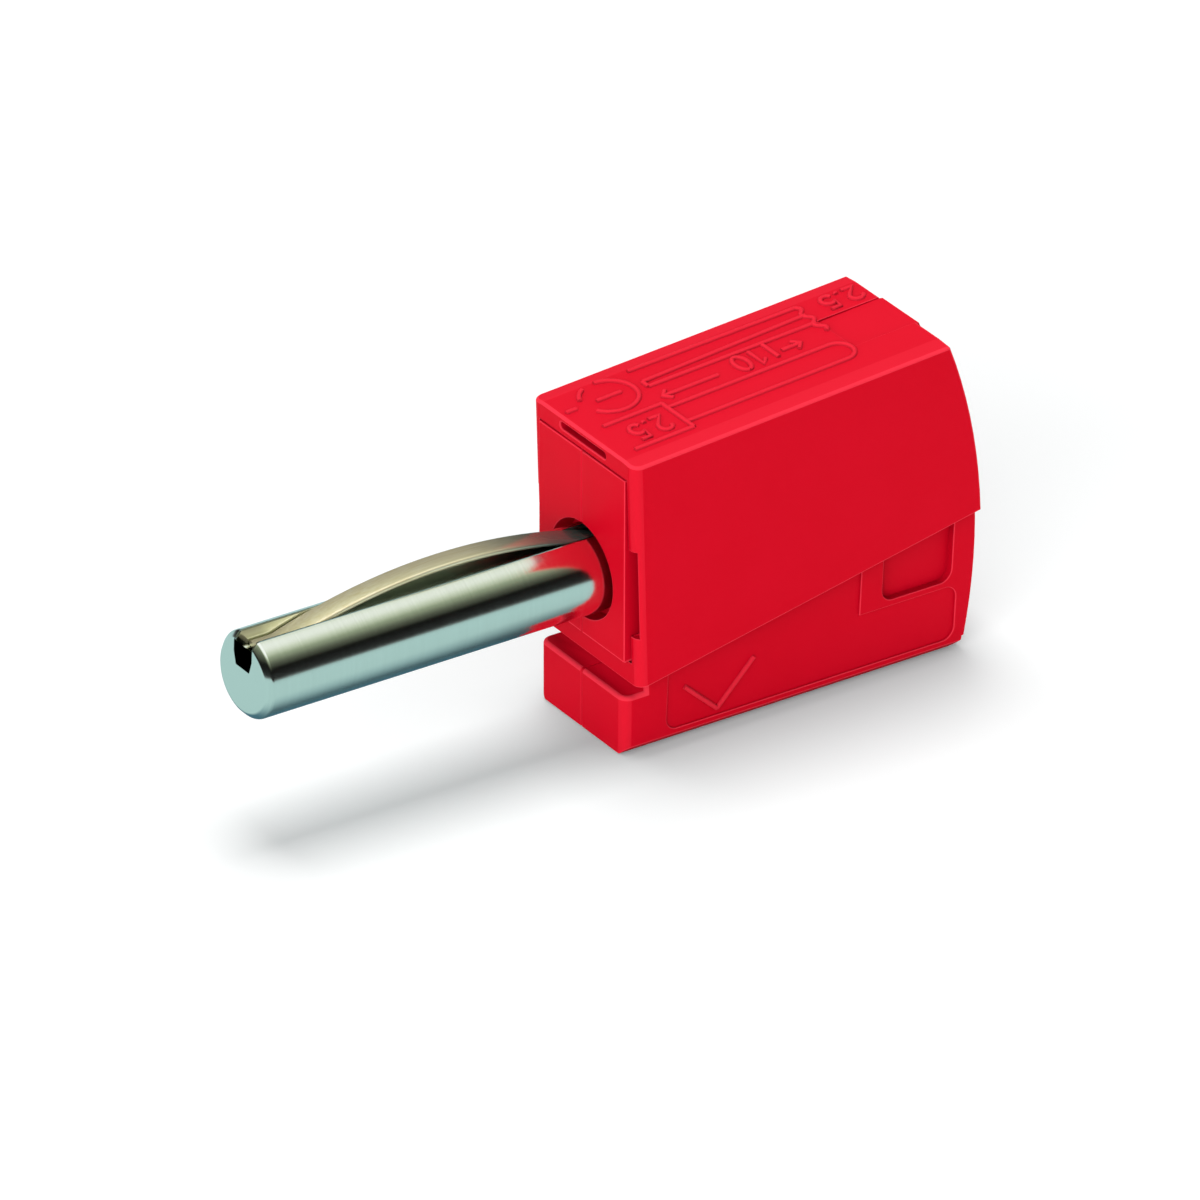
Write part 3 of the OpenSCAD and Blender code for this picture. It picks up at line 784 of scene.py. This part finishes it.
# %% [markdown]
# ## Leaf
# The leaf lies with a flat foot at each end of the slot, and bows out between them to press on a socket.
# Its bow is one arc, so three sizes give its radius, and a soft maximum rounds the bend into each foot.

# %% Leaf
LEAF_T = 0.25
LEAF_FOOT = 1.1
LEAF_CORNER = 0.11
BEND_SOFTNESS = 0.03
LEAF_POINTS = 140
leaf_low, leaf_high = box_mm("contact_leaf")
leaf_x = (leaf_low.x + leaf_high.x) / 2
half_span = (leaf_high.x - leaf_low.x) / 2 - LEAF_FOOT
rise = leaf_high.z - leaf_low.z - LEAF_T
bow_r = (half_span ** 2 + rise ** 2) / (2 * rise)


def leaf_z(x):
    """Height of the leaf's middle surface at x."""
    foot = leaf_low.z + LEAF_T / 2
    bow = leaf_high.z - LEAF_T / 2 - bow_r + math.sqrt(bow_r ** 2 - (x - leaf_x) ** 2)
    return foot + BEND_SOFTNESS * math.log1p(math.exp((bow - foot) / BEND_SOFTNESS))


stations = [leaf_low.x + (leaf_high.x - leaf_low.x) * i / LEAF_POINTS for i in range(LEAF_POINTS + 1)]
leaf_path = [(x, 0, leaf_z(x)) for x in stations]
leaf_w = leaf_high.y - leaf_low.y
leaf = sweep("contact_leaf_bowed", [leaf_path], leaf_w, LEAF_T, LEAF_CORNER, bronze)
off_bench(leaf, bronze, "spring_bronze", "contact_leaf")

# %% [markdown]
# ## Inner metals
# The current bar and the clamp spring are right as they come from CAD and hardly show.
# They only get a finish.

# %% Inner metals
for name, material in (("current_bar", tinned), ("clamp_spring", steel)):
    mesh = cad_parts[name].data
    mesh.materials.clear()
    mesh.materials.append(material)
    print(name, "finished in", material.name)

# %% [markdown]
# ## Raised signs on the cover
# The top carries a small drawing that says how the plug is used: a stripped conductor with its 10 mm bare
# end and its size, and the blade of the screwdriver that opens the clamp.
# It is drawn with lines in the plane of the sloping top, with u towards the rear and y across.

# %% Strokes of the figures


def arc(x, y, rx, ry, first, last, steps=10):
    """Points on an ellipse from one angle to another, in degrees."""
    angles = [math.radians(first + (last - first) * i / steps) for i in range(steps + 1)]
    return [(x + rx * math.cos(a), y + ry * math.sin(a)) for a in angles]


FIGURES = {
    "0": [arc(0.29, 0.5, 0.24, 0.5, 90, 450, 20)],
    "1": [[(0.12, 0.74), (0.34, 1.0), (0.34, 0.0)]],
    "2": [arc(0.29, 0.72, 0.26, 0.28, 165, -40) + [(0.04, 0.0), (0.56, 0.0)]],
    "5": [[(0.52, 1.0), (0.12, 1.0), (0.08, 0.56)] + arc(0.27, 0.32, 0.28, 0.32, 130, -145)],
    ".": [[(0.02, 0.0), (0.02, 0.12)]],
}
ADVANCE = {"0": 0.8, "1": 0.62, "2": 0.8, "5": 0.8, ".": 0.26}


def figures(text, u, y, tall, long):
    """Strokes of a number that reads towards the front, from (u, y), with its top towards -y."""
    step = long / sum(ADVANCE[c] for c in text)
    strokes = []
    for c in text:
        for stroke in FIGURES[c]:
            strokes.append([(u - step * a, y - tall * b) for a, b in stroke])
        u -= step * ADVANCE[c]
    return strokes


print("figures drawn:", " ".join(FIGURES))

# %% Pictogram
WIRE = {"front": 4.02, "rear": 13.35, "far": -0.67, "near": -2.1}
SLEEVE = {"front": 0.9, "rear": 4.02, "far": -0.25, "near": -2.62}
RING = {"u": 2.57, "y": 1.65, "r": 1.3}
RING_ARCS = ((86, -149), (160, 119))
RING_DASHES = ((0.3, 0.85), (1.9, 3.2))
BLADE_U = (4.4, 13.3)
BLADE_LINES = ((1.28, 1.2), (1.75, 2.0), (2.85, 2.75))
BREAK = {"near": 0.4, "far": 2.75, "wave": 0.16, "waves": 2.5, "points": 30}
LENGTH_Y = 0.22
LENGTH_U = (4.4, 7.35, 10.75, 11.8)
LENGTH_BAR = (10.35, 1.1, -0.15)
ARROW = 0.35


def pictogram_lines():
    """The drawing's strokes as lists of (u, y) points."""
    wire_r = (WIRE["far"] - WIRE["near"]) / 2
    wire_end = arc(WIRE["rear"] - wire_r, WIRE["far"] - wire_r, wire_r, wire_r, 90, -90, 14)
    strokes = [[(WIRE["front"], WIRE["far"])] + wire_end + [(WIRE["front"], WIRE["near"])],
               [(SLEEVE["rear"], SLEEVE["far"]), (SLEEVE["rear"], SLEEVE["near"])]]
    for y in (SLEEVE["far"], SLEEVE["near"]):
        strokes.append([(SLEEVE["front"], y), (SLEEVE["rear"], y)])
    strokes += [arc(RING["u"], RING["y"], RING["r"], RING["r"], *ends, 24) for ends in RING_ARCS]
    strokes += [[(u, RING["y"]) for u in dash] for dash in RING_DASHES]
    strokes += [list(zip(BLADE_U, line)) for line in BLADE_LINES]
    strokes.append([(BLADE_U[0], BLADE_LINES[0][0]), (BLADE_U[0], BLADE_LINES[1][0])])
    steps = [i / BREAK["points"] for i in range(BREAK["points"] + 1)]
    strokes.append([(BLADE_U[1] + BREAK["wave"] * math.sin(2 * math.pi * BREAK["waves"] * t),
                     BREAK["far"] + (BREAK["near"] - BREAK["far"]) * t) for t in steps])
    strokes += [[(u, LENGTH_Y) for u in LENGTH_U[:2]], [(u, LENGTH_Y) for u in LENGTH_U[2:]]]
    strokes.append([(LENGTH_BAR[0], y) for y in LENGTH_BAR[1:]])
    for u, back in ((LENGTH_U[0], ARROW), (LENGTH_U[3], -ARROW)):
        strokes.append([(u + back, LENGTH_Y + ARROW), (u, LENGTH_Y), (u + back, LENGTH_Y - ARROW)])
    return strokes


LINE_W = 0.22
LINE_T = 0.24
LINE_CORNER = 0.09
# Painted highlight on the raised signs and the arrow, a part of a full edge mark.
SIGN_HIGHLIGHT = 0.6
FIGURE_TALL = 1.2
REAR_TALL = 1.05
strokes = pictogram_lines()
strokes += figures("10", 9.95, 0.98, FIGURE_TALL, 1.92)
strokes += figures("2.5", 3.42, -0.95, FIGURE_TALL, 2.1)
strokes += figures("2.5", 16.45, 2.76, REAR_TALL, 2.25)
signs = sweep("cover_signs", [[on_top(u, y) for u, y in stroke] for stroke in strokes],
              LINE_W, LINE_T, LINE_CORNER, red_plastic)
signs = off_bench(signs, red_plastic, "red_plastic")
mark(signs, [SIGN_HIGHLIGHT] * len(signs.data.polygons))

# %% [markdown]
# ## Arrow on the base
# A raised arrow on the near side points down to the test hole in the underside.

# %% Arrow
ARROW_LINE = [(-6.07, 2.58), (-4.24, 0.95), (-2.35, 2.97)]
FIELD_DEPTH = 0.1
field_y = -(shell_half - FIELD_DEPTH)
left_arm = [(x, field_y, z) for x, z in ARROW_LINE[:2]]
right_arm = [(x, field_y, z) for x, z in ARROW_LINE[1:]]
arrow = sweep("test_arrow", [left_arm, right_arm], LINE_T, LINE_W, LINE_CORNER, red_plastic)
arrow = off_bench(arrow, red_plastic, "red_plastic")
# The arrow gets the same painted highlight as the signs.
mark(arrow, [SIGN_HIGHLIGHT] * len(arrow.data.polygons))
